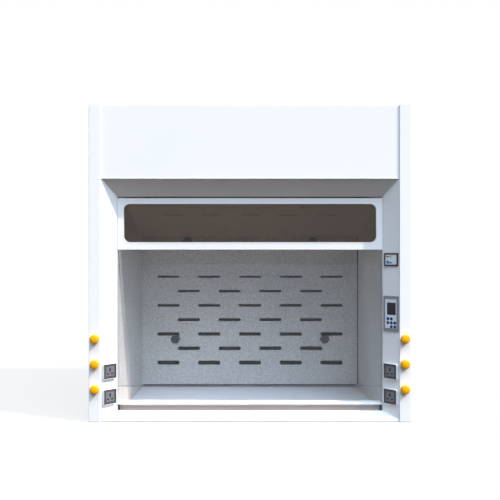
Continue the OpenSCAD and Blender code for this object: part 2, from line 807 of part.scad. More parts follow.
module lamp_lens() {
  x = lamp_x - sheet_t - 2;
  y = lamp_y - sheet_t - 2;
  color([0.95, 0.97, 1, 0.5]) block([-x, lamp_depth - y, ceiling_z + liner_t],
    [x, lamp_depth + y, ceiling_z + liner_t + 4]);
}

socket_places = [for (side = [-1, 1], i = [0, 1]) [side, socket_low_z + i * socket_pitch]];

module socket_boxes() {
  inner = socket_w - 2 * socket_border;
  color([0.95, 0.95, 0.96]) for (p = socket_places) on_side(p[0]) on_jamb(socket_mid, p[1]) difference() {
    jamb_plate(socket_w, socket_w, 4, 0, socket_h);
    jamb_plate(inner, inner, seam, socket_h - socket_recess - plate_t, socket_h + cut);
  }
}

module socket_plates() {
  inner = socket_w - 2 * socket_border;
  base = socket_h - socket_recess - plate_t;
  face = socket_h - socket_recess;
  color([0.42, 0.43, 0.46]) for (p = socket_places) on_side(p[0]) on_jamb(socket_mid, p[1]) difference() {
    union() {
      jamb_plate(inner, inner, seam, base, face);
      jamb_plate(socket_raised, socket_raised, 3, base, face + socket_recess / 2);
    }
    translate([0, 0, contact_up_z]) jamb_plate(contact_w, contact_up_l, 0.5, base + 1, socket_h);
    for (i = [-1, 1]) translate([i * contact_out, 0, -contact_out])
      jamb_plate(contact_low_l, contact_w, 0.5, base + 1, socket_h);
  }
}

case_back_w = case_w - 26;
face_w = case_w - 2 * case_border;
face_h = case_h - 2 * case_cap;
case_back_h = face_h;
face_y = case_proud - face_step;
pocket_depth = 7;
pocket_floor = face_y - pocket_depth;
button_z = case_z - buttons_down;
// Places of the buttons on the face, in columns across and rows down
button_grid = [[1, 0], [0, 0], [1, 1], [0, 1], [-1, 1], [0, 2], [-1, 2]];

// Places children at one button, with Y out of the face
module at_button(i) {
  across = button_grid[i][0] * button_pitch;
  down = button_grid[i][1] * button_pitch;
  on_jamb(keys_mid + across, button_z - down) children();
}

module controller_case() {
  color([0.45, 0.47, 0.51]) difference() {
    union() {
      on_jamb(case_mid, case_z) jamb_plate(case_w, case_h, 3, 0, case_proud);
      on_jamb(keys_mid, case_z) jamb_plate(case_back_w, case_back_h, seam, -case_back, 0);
    }
    on_jamb(case_mid, case_z) jamb_plate(face_w, face_h, seam, face_y, case_proud + cut);
    on_jamb(keys_mid, case_z + display_up) jamb_plate(display_w, display_h, seam, face_y - 3, case_proud);
    for (i = [0:len(button_grid) - 1]) at_button(i) translate([0, pocket_floor, 0]) rotate([-90, 0, 0])
      cylinder(d = button_d + 2 * button_gap, h = case_proud + pocket_depth, $fn = fine);
  }
}

module controller_display() {
  color([0.12, 0.14, 0.17]) on_jamb(keys_mid, case_z + display_up)
    jamb_plate(display_w, display_h, seam, face_y - 3, face_y + 0.4);
}

module button(i) {
  r = button_d / 2;
  base = pocket_floor + button_travel + button_gap;
  top = face_y + button_travel + 0.5;
  color([0.06, 0.16, 0.36]) at_button(i) translate([0, base, 0]) rotate([-90, 0, 0])
    rotate_extrude($fn = fine) polygon(concat([[0, 0], [r, 0]],
      arc([r - 1.2, top - base - 1.2], 1.2, 0, 60, 4), [[0, top - base]]));
}

meter_back_w = meter_w - 22;
meter_back_h = meter_h - 16;

module airflow_meter() {
  color([0.16, 0.17, 0.19]) on_jamb(meter_mid, meter_z) difference() {
    union() {
      jamb_plate(meter_w, meter_h, 3, 0, meter_proud);
      jamb_plate(meter_back_w, meter_back_h, seam, -case_back, 0);
    }
    jamb_plate(meter_w - 2 * meter_border, meter_h - 2 * meter_border, 1, meter_proud - 1.5,
      meter_proud + cut);
  }
}

// Places children at one service knob, Z out of the post's front
module at_knob(side, i) {
  on_side(side) translate([half_w - knob_inset, fy(-post_proud), knob_low_z + i * knob_pitch])
    rotate([90, 0, 0]) children();
}

module service_valves() {
  union_l = 14;
  inlet_l = knob_pitch / 4;
  color([0.72, 0.58, 0.30]) for (side = [-1, 1], i = [0:2]) at_knob(side, i)
    translate([0, 0, -sheet_t - valve_l]) difference() {
      union() {
        cylinder(r = valve_r, h = valve_l, $fn = fine);
        cylinder(r = valve_r * 1.2, h = union_l, $fn = 6);
        translate([0, 0, union_l]) rotate([90, 0, 0])
          cylinder(r = valve_r / 2, h = inlet_l, $fn = fine);
      }
      translate([0, 0, valve_l / 2]) cylinder(r = spindle_r + spindle_gap, h = valve_l, $fn = fine);
    }
}

module service_knob(side, i) {
  r = knob_d / 2;
  foot = 0.84 * r;
  crown = knob_h * 0.78;
  color([1, 0.72, 0.05]) at_knob(side, i) {
    rotate_extrude($fn = fine) polygon(concat([[0, knob_gap], [foot, knob_gap], [foot, 3]],
      [for (a = [-35:14:35]) [r * (0.94 + 0.06 * cos(a * 2.4)), 5 + (a + 35) / 70 * (crown - 5)]],
      [for (a = [8:14:92]) [r * 0.94 * cos(min(a, 90)), crown + (knob_h - crown) * sin(min(a, 90))]]));
    translate([0, 0, -sheet_t - valve_l / 2 + 2])
      cylinder(r = spindle_r, h = sheet_t + valve_l / 2 - 2 + knob_gap, $fn = fine);
  }
}

module sash_glass() {
  x = open_x + glass_bite;
  color([0.72, 0.82, 0.90, 0.4]) facing(sash_plane - glass_t / 2, glass_t)
    translate([0, sash_z + sheet_t * 2 + (sash_h - sheet_t * 2) / 2])
      polygon(rounded(2 * x, sash_h - sheet_t * 2, 3));
}

module sash_trim() {
  x = open_x - baffle_gap;
  h = glass_t / 2;
  t = trim_t / 2;
  floor_z = sash_z + 2 * sheet_t;
  color([0.22, 0.23, 0.25]) crosswise([[sash_plane - t + 1, sash_z], [sash_plane + t - 1, sash_z],
    [sash_plane + t, sash_z + 1], [sash_plane + t, sash_z + trim_h], [sash_plane + h, sash_z + trim_h],
    [sash_plane + h, floor_z], [sash_plane - h, floor_z], [sash_plane - h, sash_z + trim_h],
    [sash_plane - t, sash_z + trim_h], [sash_plane - t, sash_z + 1]], -x, x);
}

// One glide astride the glass's edge, reaching out to x1
module glide(z0, x1) {
  t = trim_t / 2;
  edge = open_x + glass_bite;
  difference() {
    block([open_x + 2, sash_plane - t, z0], [x1, sash_plane + t, z0 + glide_h]);
    block([open_x, sash_plane - glass_t / 2, z0 - cut],
      [edge, sash_plane + glass_t / 2, z0 + glide_h + cut]);
  }
}

module sash_clamps() {
  color([0.30, 0.31, 0.33]) for (side = [-1, 1]) on_side(side) {
    glide(sash_z + trim_h + 10, open_x + groove_d - 2);
    glide(clamp_top - glide_h, cable_x + 3 * cable_r);
  }
}

// Straight run of cable at a depth, between two heights
module cable(depth, z0, z1) {
  translate([cable_x, fy(depth), z0]) cylinder(r = cable_r, h = z1 - z0, $fn = 24);
}

module sash_cables() {
  color([0.55, 0.56, 0.58]) for (side = [-1, 1]) on_side(side) cable(sash_plane, clamp_top, shaft_z);
}

module weight_cable(side) {
  color([0.55, 0.56, 0.58]) on_side(side) cable(weight_depth, weight_z + weight_h, shaft_z);
}

module cable_wraps() {
  color([0.55, 0.56, 0.58]) for (side = [-1, 1]) on_side(side)
    translate([cable_x, fy(shaft_depth), shaft_z]) rotate([90, 0, 90])
      rotate_extrude(angle = 180, $fn = fine) translate([pulley_r, 0]) circle(cable_r, $fn = 24);
}

module counterweight(side) {
  color([0.40, 0.41, 0.43]) on_side(side)
    translate([0, 0, weight_z]) upright([for (p = rounded(weight_w, weight_d, 5))
      [p[0] + cable_x, p[1] + weight_depth]], 0, weight_h);
}

module pulley_shaft() {
  run_gap = 0.1;
  rim = pulley_r + pulley_flange;
  floor_r = pulley_r - cable_r - run_gap;
  throat = cable_r + run_gap;
  hub = 2 * shaft_r;
  w = pulley_w / 2;
  reach = bearing_x + bearing_w - 2;
  color([0.70, 0.71, 0.73]) {
    translate([-reach, fy(shaft_depth), shaft_z]) rotate([0, 90, 0])
      cylinder(r = shaft_r, h = 2 * reach, $fn = fine);
    for (side = [-1, 1]) translate([side * cable_x, fy(shaft_depth), shaft_z]) rotate([0, 90, 0])
      rotate_extrude($fn = fine) polygon([[shaft_r, -w - 3], [hub, -w - 3], [hub, -w / 2],
        [floor_r - 6, -w / 2], [floor_r - 6, -w], [rim, -w], [rim, -throat - 2], [floor_r, -throat],
        [floor_r, throat], [rim, throat + 2], [rim, w], [floor_r - 6, w], [floor_r - 6, w / 2],
        [hub, w / 2], [hub, w + 3], [shaft_r, w + 3]]);
  }
}

worktop();
front_sill();
airfoil();
airfoil_brackets();
side_panel(-1);  // side_panel_left
side_panel(1);  // side_panel_right
rear_panel();
roof_panel();
exhaust_spigot();
post(-1);  // post_left
post(1);  // post_right
jamb_left();
jamb_right();
fascia();
soffit();
transom_frame();
transom_glass();
liner(-1);  // liner_left
liner(1);  // liner_right
liner_ceiling();
lower_baffle();
upper_baffle();
baffle_standoffs();
baffle_nuts();
guide(-1);  // guide_left
guide(1);  // guide_right
frame();
shaft_bearings();
lamp_housing();
lamp_tubes();
lamp_lens();
socket_boxes();
socket_plates();
controller_case();
controller_display();
airflow_meter();
service_valves();
cable_wraps();
sash_glass();
sash_trim();
sash_clamps();
sash_cables();
counterweight(-1);  // counterweight_left
weight_cable(-1);  // weight_cable_left
counterweight(1);  // counterweight_right
weight_cable(1);  // weight_cable_right
pulley_shaft();
service_knob(-1, 0);  // service_knob_left_bottom
service_knob(-1, 1);  // service_knob_left_middle
service_knob(-1, 2);  // service_knob_left_top
service_knob(1, 0);  // service_knob_right_bottom
service_knob(1, 1);  // service_knob_right_middle
service_knob(1, 2);  // service_knob_right_top
button(0);  // button_up
button(1);  // button_fan
button(2);  // button_down
button(3);  // button_light
button(4);  // button_set
button(5);  // button_power
button(6);  // button_mute
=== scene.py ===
import math

import bmesh
import bpy
from mathutils import Matrix, Vector


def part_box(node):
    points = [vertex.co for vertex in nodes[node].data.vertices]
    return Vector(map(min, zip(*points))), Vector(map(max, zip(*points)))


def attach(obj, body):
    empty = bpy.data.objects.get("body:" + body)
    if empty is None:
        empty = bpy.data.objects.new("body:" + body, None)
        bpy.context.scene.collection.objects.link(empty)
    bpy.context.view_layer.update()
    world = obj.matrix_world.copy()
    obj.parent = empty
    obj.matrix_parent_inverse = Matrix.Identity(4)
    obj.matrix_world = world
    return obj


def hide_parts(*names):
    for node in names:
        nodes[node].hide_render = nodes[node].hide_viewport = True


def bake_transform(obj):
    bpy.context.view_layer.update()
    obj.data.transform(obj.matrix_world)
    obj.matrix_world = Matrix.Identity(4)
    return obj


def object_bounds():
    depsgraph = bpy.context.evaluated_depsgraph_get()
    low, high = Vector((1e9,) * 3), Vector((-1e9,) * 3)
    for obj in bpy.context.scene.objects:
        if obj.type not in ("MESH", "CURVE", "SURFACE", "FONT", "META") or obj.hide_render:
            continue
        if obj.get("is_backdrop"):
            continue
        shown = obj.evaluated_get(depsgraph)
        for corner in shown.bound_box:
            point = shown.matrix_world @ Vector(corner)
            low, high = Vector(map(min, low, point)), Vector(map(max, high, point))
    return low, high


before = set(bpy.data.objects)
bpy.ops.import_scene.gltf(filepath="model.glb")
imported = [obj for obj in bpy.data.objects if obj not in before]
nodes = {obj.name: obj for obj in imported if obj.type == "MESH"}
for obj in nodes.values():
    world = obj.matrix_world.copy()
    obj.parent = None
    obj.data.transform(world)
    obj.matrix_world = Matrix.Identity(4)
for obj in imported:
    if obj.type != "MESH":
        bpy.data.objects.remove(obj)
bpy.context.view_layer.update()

scene = bpy.context.scene
print("stage: frame loaded,", len(nodes), "nodes")


# Camera, lights and floor

view = {
    "place": (0.0, -3.394, 0.776),
    "lens": 46.0,  # millimetres on a sensor of this width
    "sensor": 36.0,
    "shift": 0.01,
    "clip": (0.05, 60.0),
}

light = {
    "sunTravel": (-2.22, 1.0, -2.69),
    "sunStrength": 3.4,
    "sunColour": (1.2, 0.98, 0.82),
    "sunAngle": 0.12,  # degrees
    "skyColour": (0.83, 0.98, 1.16),
    "skyBase": 0.12,
    "skyPeak": 6.35,
    "skyFrom": (0.24, -0.48, 0.843),  # towards the bright part of the sky: in front, right and high up
    "skySharp": 7.0,
}

ground = {
    "half": 20.0,
    "paint": (0.10, 0.10, 0.10),  # what the camera sees takes shadows in this paint, over a plain glow
    "glow": 0.81,
    "bounce": (0.035, 0.032, 0.029),  # what the hood gets back from the floor
}


def addNode(tree, kind, values=None, **settings):
    node = tree.nodes.new(kind)
    for name, value in settings.items():
        setattr(node, name, value)
    for key, value in (values or {}).items():
        if isinstance(value, bpy.types.NodeSocket):
            tree.links.new(value, node.inputs[key])
        else:
            node.inputs[key].default_value = value
    return node


def startTree(owner):
    owner.use_nodes = True
    owner.node_tree.nodes.clear()
    return owner.node_tree


def rgba(colour):
    return (*colour, 1.0)


def raySeen(tree):
    # 1 for the rays that show the background itself or its reflection, 0 for the rays that carry light
    path = addNode(tree, "ShaderNodeLightPath")
    two = addNode(tree, "ShaderNodeMath", {0: path.outputs["Is Camera Ray"],
                                           1: path.outputs["Is Glossy Ray"]}, operation="MAXIMUM")
    return addNode(tree, "ShaderNodeMath", {0: two.outputs[0], 1: path.outputs["Is Transmission Ray"]},
                   operation="MAXIMUM").outputs[0]


def makeCamera():
    data = bpy.data.cameras.new("hoodCamera")
    data.lens, data.sensor_width = view["lens"], view["sensor"]
    data.shift_y = view["shift"]
    data.clip_start, data.clip_end = view["clip"]
    camera = bpy.data.objects.new("hoodCamera", data)
    camera.location = view["place"]
    camera.rotation_euler = (math.radians(90), 0, 0)
    scene.collection.objects.link(camera)
    scene.camera = camera


def makeLight():
    data = bpy.data.lights.new("keySun", "SUN")
    data.energy = light["sunStrength"]
    data.color = light["sunColour"]
    data.angle = math.radians(light["sunAngle"])
    sun = bpy.data.objects.new("keySun", data)
    sun.rotation_mode = "QUATERNION"
    sun.rotation_quaternion = Vector(light["sunTravel"]).to_track_quat("-Z", "Y")
    scene.collection.objects.link(sun)

    world = bpy.data.worlds.new("studio")
    scene.world = world
    tree = startTree(world)
    look = addNode(tree, "ShaderNodeTexCoord").outputs["Generated"]
    facing = addNode(tree, "ShaderNodeVectorMath", {0: look, 1: light["skyFrom"]}, operation="DOT_PRODUCT")
    ahead = addNode(tree, "ShaderNodeMath", {0: facing.outputs["Value"], 1: 0.0}, operation="MAXIMUM")
    lobe = addNode(tree, "ShaderNodeMath", {0: ahead.outputs[0], 1: light["skySharp"]}, operation="POWER")
    power = addNode(tree, "ShaderNodeMath", {0: lobe.outputs[0], 1: light["skyPeak"], 2: light["skyBase"]},
                    operation="MULTIPLY_ADD").outputs[0]
    sky = addNode(tree, "ShaderNodeBackground", {"Color": rgba(light["skyColour"]), "Strength": power})
    white = addNode(tree, "ShaderNodeBackground", {"Color": (1, 1, 1, 1), "Strength": 1.0})
    mix = addNode(tree, "ShaderNodeMixShader", {0: raySeen(tree), 1: sky.outputs[0], 2: white.outputs[0]})
    addNode(tree, "ShaderNodeOutputWorld", {0: mix.outputs[0]})


def makeFloor():
    mesh = bpy.data.meshes.new("floor")
    bm = bmesh.new()
    bmesh.ops.create_grid(bm, x_segments=1, y_segments=1, size=ground["half"])
    bm.to_mesh(mesh)
    bm.free()
    floor = bpy.data.objects.new("floor", mesh)
    scene.collection.objects.link(floor)
    material = bpy.data.materials.new("paleFloor")
    tree = startTree(material)
    paint = addNode(tree, "ShaderNodeBsdfDiffuse", {"Color": rgba(ground["paint"])})
    glow = addNode(tree, "ShaderNodeEmission", {"Color": (1, 1, 1, 1), "Strength": ground["glow"]})
    seen = addNode(tree, "ShaderNodeAddShader", {0: paint.outputs[0], 1: glow.outputs[0]})
    bounce = addNode(tree, "ShaderNodeBsdfDiffuse", {"Color": rgba(ground["bounce"])})
    mix = addNode(tree, "ShaderNodeMixShader", {0: raySeen(tree), 1: bounce.outputs[0],
                                                2: seen.outputs[0]})
    addNode(tree, "ShaderNodeOutputMaterial", {0: mix.outputs[0]})
    mesh.materials.append(material)
    floor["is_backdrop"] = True


makeCamera()
makeLight()
makeFloor()
scene.view_settings.view_transform = "Standard"
print("stage: camera, lights and floor")


# Finishes. Every pattern runs on Object coordinates: patch, speck, grain and strands are its scales per
# metre, height is the depth of the bump in metres, and tone fades into other from patch to patch

finishes = {
    "whiteCoat": {  # powder coat with a fine orange peel
        "tone": (0.885, 0.89, 0.895), "other": (0.868, 0.875, 0.882), "patch": 1.6,
        "grain": 700.0, "height": 0.00006, "bump": 0.35, "rough": (0.36, 0.46),
    },
    "rearCoat": {  # its inner side, behind the baffles, is a darker grey: painted shade of the space behind the slots
        "tone": (0.86, 0.865, 0.875), "other": (0.84, 0.847, 0.86), "patch": 1.6,
        "grain": 700.0, "height": 0.00006, "bump": 0.35, "rough": (0.38, 0.48),
        "past": [(0.4240, "LESS_THAN", (0.34, 0.34, 0.355))],
    },
    "soffitShadeCoat": {  # the same white coat darkened to a warm grey: painted shade under the fascia
        "tone": (0.61, 0.565, 0.54), "other": (0.59, 0.55, 0.525), "patch": 1.6,
        "grain": 700.0, "height": 0.00006, "bump": 0.35, "rough": (0.40, 0.50),
    },
    "windowCoat": {  # smoother coat on the frame of the upper window
        "tone": (0.90, 0.90, 0.90), "other": (0.885, 0.886, 0.89), "patch": 2.4,
        "grain": 800.0, "height": 0.00005, "bump": 0.3, "rough": (0.32, 0.42),
    },
    "linerBoard": {  # textured laminate
        "tone": (0.70, 0.667, 0.642), "other": (0.65, 0.622, 0.60), "patch": 3.0,
        "speck": 235.0, "speckDepth": 0.24, "speckTurn": (0.0, -0.6155, 0.7854), "speckLong": 2.2,
        "grain": 260.0, "height": 0.0004, "bump": 0.6, "rough": (0.48, 0.62),
    },
    "worktopResin": {
        "tone": (0.925, 0.935, 0.97), "other": (0.905, 0.92, 0.955), "patch": 3.5,
        "speck": 420.0, "speckDepth": 0.03,
        "grain": 500.0, "height": 0.00008, "bump": 0.3, "rough": (0.28, 0.40),
        "past": [(-0.3275, "LESS_THAN", (0.64, 0.57, 0.53)),  # its front edge, darker: painted shade of the airfoil over it
                 (0.3340, "GREATER_THAN", (0.035, 0.036, 0.04))],  # under the baffle, near black: painted shade in the slot there
    },
    "galvanisedSteel": {
        "tone": (0.46, 0.48, 0.50), "other": (0.34, 0.36, 0.385), "patch": 40.0, "spangle": True,
        "grain": 300.0, "height": 0.00005, "bump": 0.3, "rough": (0.30, 0.52), "metal": 0.85,
    },
    "spigotSteel": {
        "tone": (0.62, 0.63, 0.645), "other": (0.50, 0.515, 0.535), "patch": 30.0, "spangle": True,
        "grain": 260.0, "height": 0.00004, "bump": 0.25, "rough": (0.24, 0.40), "metal": 0.95,
    },
    "guideAluminium": {
        "tone": (0.74, 0.75, 0.77), "other": (0.69, 0.70, 0.725), "patch": 6.0,
        "stretch": (1.0, 1.0, 0.03),
        "grain": 900.0, "height": 0.00003, "bump": 0.5, "rough": (0.34, 0.46), "metal": 0.25,
    },
    "brightSteel": {
        "tone": (0.60, 0.605, 0.62), "other": (0.50, 0.505, 0.52), "patch": 20.0,
        "stretch": (0.08, 1.0, 1.0),
        "grain": 700.0, "height": 0.00003, "bump": 0.4, "rough": (0.20, 0.34), "metal": 1.0,
    },
    "strandedSteel": {
        "tone": (0.56, 0.565, 0.58), "other": (0.46, 0.465, 0.48), "patch": 300.0, "strands": 260.0,
        "grain": 400.0, "height": 0.0003, "bump": 0.8, "rough": (0.28, 0.42), "metal": 1.0,
    },
    "darkSteel": {
        "tone": (0.085, 0.088, 0.095), "other": (0.065, 0.067, 0.073), "patch": 14.0,
        "grain": 500.0, "height": 0.00008, "bump": 0.4, "rough": (0.38, 0.54),
    },
    "castIron": {
        "tone": (0.12, 0.123, 0.13), "other": (0.085, 0.087, 0.092), "patch": 25.0,
        "grain": 220.0, "height": 0.0005, "bump": 0.6, "rough": (0.5, 0.72), "metal": 0.3,
    },
    "turnedBrass": {
        "tone": (0.72, 0.50, 0.20), "other": (0.60, 0.40, 0.15), "patch": 18.0,
        "stretch": (1.0, 0.1, 1.0),
        "grain": 900.0, "height": 0.00003, "bump": 0.4, "rough": (0.22, 0.38), "metal": 1.0,
    },
    "blackPlastic": {
        "tone": (0.030, 0.032, 0.036), "other": (0.022, 0.023, 0.027), "patch": 30.0,
        "grain": 900.0, "height": 0.00005, "bump": 0.4, "rough": (0.42, 0.56), "specular": 0.25,
    },
    "platePlastic": {
        "tone": (0.158, 0.163, 0.178), "other": (0.14, 0.146, 0.16), "patch": 40.0,
        "grain": 1100.0, "height": 0.00004, "bump": 0.4, "rough": (0.34, 0.48),
    },
    "whitePlastic": {
        "tone": (0.84, 0.845, 0.86), "other": (0.80, 0.81, 0.83), "patch": 20.0,
        "grain": 1000.0, "height": 0.00004, "bump": 0.3, "rough": (0.26, 0.36),
    },
    "casePlastic": {
        "tone": (0.245, 0.255, 0.285), "other": (0.222, 0.232, 0.262), "patch": 30.0,
        "grain": 900.0, "height": 0.00005, "bump": 0.4, "rough": (0.36, 0.5),
    },
    "faceFilm": {  # printed overlay on the controller and the meter
        "tone": (0.80, 0.83, 0.88), "other": (0.77, 0.80, 0.86), "patch": 30.0,
        "grain": 1500.0, "height": 0.00002, "bump": 0.25, "rough": (0.26, 0.34),
    },
    "displayGlass": {
        "tone": (0.028, 0.032, 0.038), "other": (0.020, 0.023, 0.028), "patch": 60.0,
        "grain": 2000.0, "height": 0.00001, "bump": 0.1, "rough": (0.26, 0.34), "specular": 0.2,
    },
    "buttonBlue": {
        "tone": (0.0012, 0.056, 0.168), "other": (0.001, 0.047, 0.145), "patch": 120.0,
        "grain": 1500.0, "height": 0.00002, "bump": 0.3, "rough": (0.30, 0.40), "specular": 0.2,
    },
    "knobYellow": {
        "tone": (0.96, 0.46, 0.004), "other": (0.92, 0.42, 0.003), "patch": 60.0,
        "grain": 1200.0, "height": 0.00003, "bump": 0.3, "rough": (0.55, 0.65), "specular": 0.15,
    },
    "groundEdge": {  # the matt upper edge of the sliding pane
        "tone": (0.10, 0.135, 0.13), "other": (0.08, 0.11, 0.105), "patch": 12.0,
        "grain": 700.0, "height": 0.00008, "bump": 0.5, "rough": (0.45, 0.6),
    },
    "edgeStrip": {  # smoky strip round the foot of the sliding pane
        "tone": (0.10, 0.105, 0.11), "other": (0.08, 0.085, 0.09), "patch": 12.0,
        "grain": 700.0, "height": 0.00008, "bump": 0.5, "rough": (0.3, 0.42),
        "clear": (0.978, (0.995, 0.998, 1.0)),
    },
    # dark strip at the foot: painted shade of the contact with the floor
    "footPaintedShade": {
        "tone": (0.15, 0.155, 0.17), "other": (0.12, 0.125, 0.138), "patch": 12.0,
        "grain": 500.0, "height": 0.0001, "bump": 0.5, "rough": (0.55, 0.7),
    },
    "nutPlastic": {
        "tone": (0.060, 0.066, 0.076), "other": (0.048, 0.053, 0.062), "patch": 30.0,
        "grain": 800.0, "height": 0.00006, "bump": 0.4, "rough": (0.36, 0.5),
    },
    "meterBlue": {
        "tone": (0.03, 0.16, 0.42), "other": (0.025, 0.13, 0.36), "patch": 200.0,
        "grain": 1500.0, "height": 0.00002, "bump": 0.2, "rough": (0.3, 0.4),
    },
    "meterTeal": {
        "tone": (0.01, 0.26, 0.45), "other": (0.01, 0.22, 0.40), "patch": 200.0,
        "grain": 1500.0, "height": 0.00002, "bump": 0.2, "rough": (0.3, 0.4),
    },
    "meterYellow": {
        "tone": (0.75, 0.62, 0.04), "other": (0.66, 0.54, 0.03), "patch": 200.0,
        "grain": 1500.0, "height": 0.00002, "bump": 0.2, "rough": (0.3, 0.4),
    },
}

noise = {  # how fine each pattern's noise is, and the run of its values that is spread out
    "toneDetail": 4.0, "toneRun": (0.3, 0.7), "roughRun": (0.25, 0.75),
    "speckDetail": 3.0, "speckRun": (0.35, 0.65),
    "grainDetail": 2.0,
}


def makeFinish(name, look):
    material = bpy.data.materials.new(name)
    tree = startTree(material)
    place = addNode(tree, "ShaderNodeTexCoord").outputs["Object"]
    if "stretch" in look:
        place = addNode(tree, "ShaderNodeMapping", {"Vector": place, "Scale": look["stretch"]}).outputs[0]
    if look.get("spangle"):
        patch = addNode(tree, "ShaderNodeTexVoronoi", {"Vector": place, "Scale": look["patch"]})
        patch = addNode(tree, "ShaderNodeSeparateColor", {0: patch.outputs["Color"]}).outputs[0]
    else:
        patch = addNode(tree, "ShaderNodeTexNoise", {"Vector": place, "Scale": look["patch"],
                                                     "Detail": noise["toneDetail"]}).outputs[0]
    low, high = noise["toneRun"]
    share = addNode(tree, "ShaderNodeMapRange", {"Value": patch, "From Min": low,
                                                 "From Max": high}).outputs[0]
    colour = addNode(tree, "ShaderNodeMix", {"Factor": share, "A": rgba(look["tone"]),
                                             "B": rgba(look["other"])}, data_type="RGBA").outputs["Result"]
    if "speck" in look:
        fleck = place
        if "speckTurn" in look:  # flecks drawn out along one slanting direction
            fleck = addNode(tree, "ShaderNodeMapping", {"Vector": place, "Rotation": look["speckTurn"],
                                                        "Scale": (look["speckLong"], 1.0, 1.0)},
                            vector_type="TEXTURE").outputs[0]
        speck = addNode(tree, "ShaderNodeTexNoise", {"Vector": fleck, "Scale": look["speck"],
                                                     "Detail": noise["speckDetail"]}).outputs[0]
        low, high = noise["speckRun"]
        depth = look["speckDepth"]
        shade = addNode(tree, "ShaderNodeMapRange", {"Value": speck, "From Min": low, "From Max": high,
                                                     "To Min": 1 - depth, "To Max": 1 + depth}).outputs[0]
        colour = addNode(tree, "ShaderNodeVectorMath", {0: colour, "Scale": shade},
                         operation="SCALE").outputs[0]
    for limit, side, shade in look.get("past", ()):  # another colour past one depth
        depth = addNode(tree, "ShaderNodeSeparateXYZ", {0: place}).outputs["Y"]
        inside = addNode(tree, "ShaderNodeMath", {0: depth, 1: limit}, operation=side).outputs[0]
        colour = addNode(tree, "ShaderNodeMix", {"Factor": inside, "A": colour, "B": rgba(shade)},
                         data_type="RGBA").outputs["Result"]
    if "strands" in look:
        grain = addNode(tree, "ShaderNodeTexWave", {"Vector": place, "Scale": look["strands"]},
                        bands_direction="DIAGONAL").outputs[0]
    else:
        grain = addNode(tree, "ShaderNodeTexNoise", {"Vector": place, "Scale": look["grain"],
                                                     "Detail": noise["grainDetail"]}).outputs[0]
    bump = addNode(tree, "ShaderNodeBump", {"Height": grain, "Strength": look["bump"],
                                            "Distance": look["height"]})
    low, high = noise["roughRun"]
    smooth, coarse = look["rough"]
    rough = addNode(tree, "ShaderNodeMapRange", {"Value": patch, "From Min": low, "From Max": high,
                                                 "To Min": smooth, "To Max": coarse}).outputs[0]
    shader = addNode(tree, "ShaderNodeBsdfPrincipled", {
        "Base Color": colour, "Roughness": rough, "Normal": bump.outputs[0],
        "Metallic": look.get("metal", 0.0), "Specular IOR Level": look.get("specular", 0.5)})
    surface = shader.outputs[0]
    if "clear" in look:  # the share of light that each face lets straight through
        passing, tint = look["clear"]
        through = addNode(tree, "ShaderNodeBsdfTransparent", {"Color": rgba(tint)})
        surface = addNode(tree, "ShaderNodeMixShader", {0: passing, 1: surface,
                                                        2: through.outputs[0]}).outputs[0]
    addNode(tree, "ShaderNodeOutputMaterial", {0: surface})
    return material


panes = {  # tint is what the eye sees through the pane, carries is what it lets through as light
    "sashGlass": {
        "tint": (0.86, 0.905, 0.935), "carries": (0.84, 0.87, 0.90), "rough": 0.01, "ior": 1.3,
    },
    # the upper window's dark brown tint darkens the view of the inside as painted shade; light goes
    # through at the lighter carries
    "windowGlass": {
        "tint": (0.24, 0.17, 0.125), "carries": (0.62, 0.58, 0.55), "rough": 0.01, "ior": 1.45,
    },
    "lampGlass": {
        "tint": (0.93, 0.95, 0.96), "carries": (0.93, 0.95, 0.96), "rough": 0.35, "ior": 1.45,
    },
}

paneWear = {
    "ripple": 5.0, "rippleDetail": 1.0, "strength": 0.05, "depth": 0.0005,
    "smear": 9.0, "smearDetail": 3.0, "rougher": 1.5,  # how much rougher the smears are
}


def makePane(name, look):
    # glass whose faint ripple moves its reflections; rays that carry light go straight through
    material = bpy.data.materials.new(name)
    tree = startTree(material)
    place = addNode(tree, "ShaderNodeTexCoord").outputs["Object"]
    ripple = addNode(tree, "ShaderNodeTexNoise", {"Vector": place, "Scale": paneWear["ripple"],
                                                  "Detail": paneWear["rippleDetail"]})
    bump = addNode(tree, "ShaderNodeBump", {"Height": ripple.outputs[0], "Strength": paneWear["strength"],
                                            "Distance": paneWear["depth"]})
    smear = addNode(tree, "ShaderNodeTexNoise", {"Vector": place, "Scale": paneWear["smear"],
                                                 "Detail": paneWear["smearDetail"]})
    rough = addNode(tree, "ShaderNodeMapRange", {"Value": smear.outputs[0], "To Min": look["rough"],
                                                 "To Max": look["rough"] * paneWear["rougher"]}).outputs[0]
    glass = addNode(tree, "ShaderNodeBsdfPrincipled", {
        "Base Color": rgba(look["tint"]), "Roughness": rough, "IOR": look["ior"],
        "Transmission Weight": 1.0, "Normal": bump.outputs[0]})
    perFace = [math.sqrt(part) for part in look["carries"]]
    clear = addNode(tree, "ShaderNodeBsdfTransparent", {"Color": rgba(perFace)})
    path = addNode(tree, "ShaderNodeLightPath")
    carries = addNode(tree, "ShaderNodeMath", {0: path.outputs["Is Shadow Ray"],
                                               1: path.outputs["Is Diffuse Ray"]},
                      operation="MAXIMUM").outputs[0]
    mix = addNode(tree, "ShaderNodeMixShader", {0: carries, 1: glass.outputs[0], 2: clear.outputs[0]})
    addNode(tree, "ShaderNodeOutputMaterial", {0: mix.outputs[0]})
    return material


materials = {name: makeFinish(name, look) for name, look in finishes.items()}
materials.update({name: makePane(name, look) for name, look in panes.items()})

